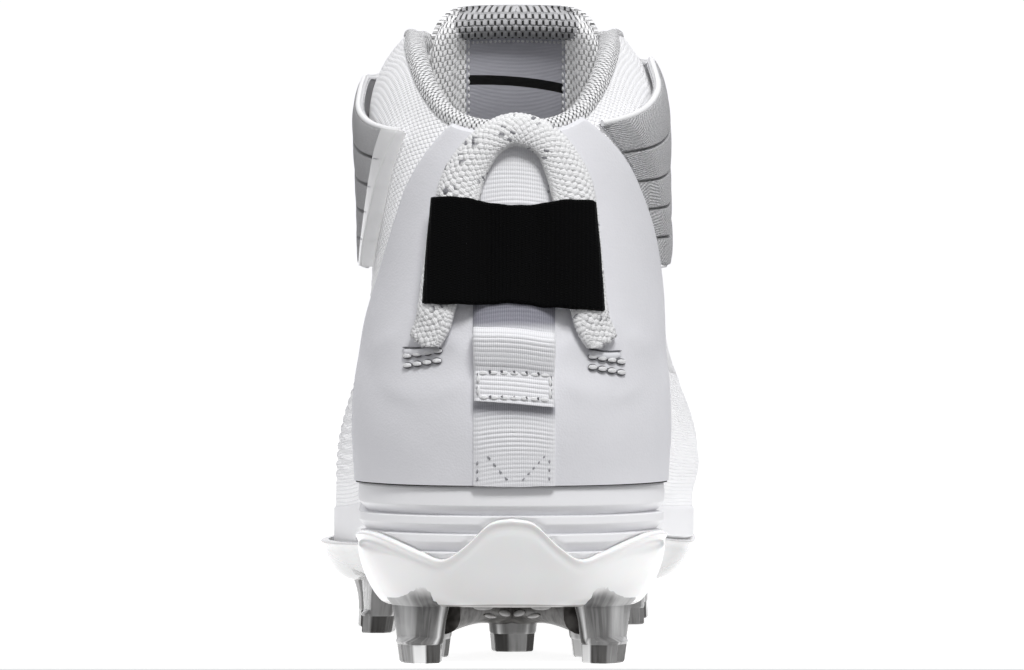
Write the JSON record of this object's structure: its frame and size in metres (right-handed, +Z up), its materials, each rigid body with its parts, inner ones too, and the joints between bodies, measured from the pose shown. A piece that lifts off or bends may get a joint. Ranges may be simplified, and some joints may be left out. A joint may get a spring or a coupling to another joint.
{
  "type": "football cleat",
  "caption": "Left mid-cut football cleat: studded clear plate, ribbed white midsole, padded collar, wide ankle strap, laces, and a corded pull loop on the heel.",
  "frame": {"origin": "on the ground under the middle of the shoe's bounding box", "axes": "+Y from heel to toe, +Z up, +X towards the inner (medial) side of this left shoe"},
  "size_m": [0.1045, 0.3013, 0.1691],
  "materials": {
    "clear_plate": "clear to milky moulded plastic, glossy",
    "midsole_white": "white moulded foam, satin, level ribs",
    "insole_grey": "grey fabric over foam",
    "mesh_white": "white mesh with a fine raised grid",
    "counter_white": "smooth matte white synthetic",
    "collar_knit": "light grey knit",
    "tongue_knit": "open spacer knit, light grey",
    "strap_white": "white elastic with moulded slanted grooves",
    "webbing_white": "ribbed white webbing",
    "braid_white": "white braid with grey flecks",
    "band_black": "black ribbed webbing",
    "lace_white": "flat white woven lace"
  },
  "bodies": {
    "root": {"outsole": "clear_plate", "midsole": "midsole_white", "insole": "insole_grey", "upper": "mesh_white", "heel_counter": "counter_white", "collar_roll": "collar_knit", "tongue": "tongue_knit", "ankle_strap": "strap_white", "heel_webbing": "webbing_white", "heel_tab": "webbing_white", "pull_cord": "braid_white", "pull_band": "band_black", "laces": "lace_white"}
  },
  "joints": []
}
